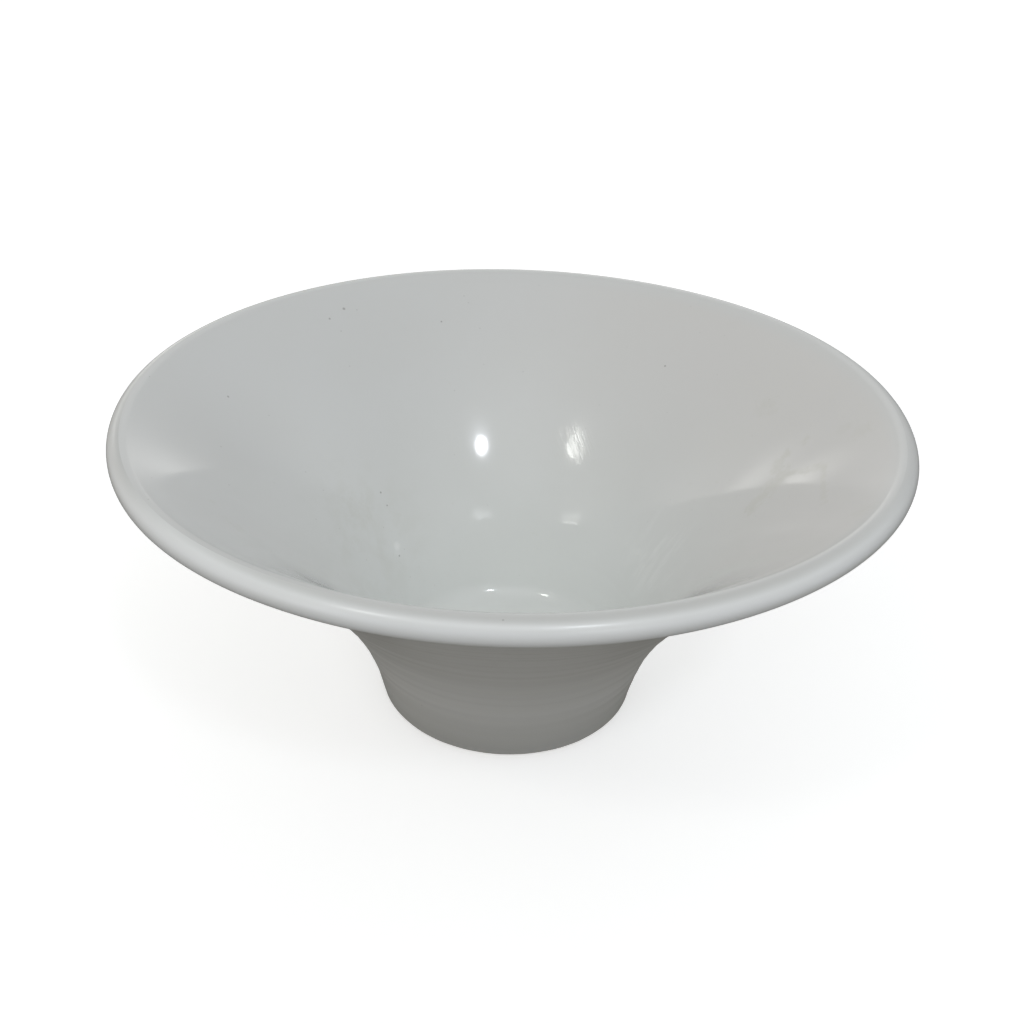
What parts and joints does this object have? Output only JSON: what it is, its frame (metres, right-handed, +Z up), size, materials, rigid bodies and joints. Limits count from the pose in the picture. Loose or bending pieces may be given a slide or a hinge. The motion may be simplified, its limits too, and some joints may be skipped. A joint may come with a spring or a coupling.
{
  "type": "shaving bowl",
  "caption": "Wide trumpet-flared glazed ceramic bowl on a narrow turned foot, for holding water and working up shaving lather with a brush.",
  "frame": {"origin": "centre of the foot ring's resting face, on the bowl's turning axis", "axes": "+Z up along the turning axis; the bowl is round, so +X and +Y are any two level directions at right angles"},
  "size_m": [0.16, 0.16, 0.0716],
  "materials": {
    "fired_clay": "bare fired clay, matt, with fine turning lines",
    "inner_glaze": "gloss white glaze with a faint green-grey cast, small iron specks and fine scratches from use",
    "outer_glaze": "gloss to satin white glaze over faint throwing rings",
    "base_glaze": "gloss white glaze"
  },
  "bodies": {
    "root": {"clay_body": "fired_clay", "inner_glaze": "inner_glaze", "outer_glaze": "outer_glaze", "base_glaze": "base_glaze"}
  },
  "joints": []
}
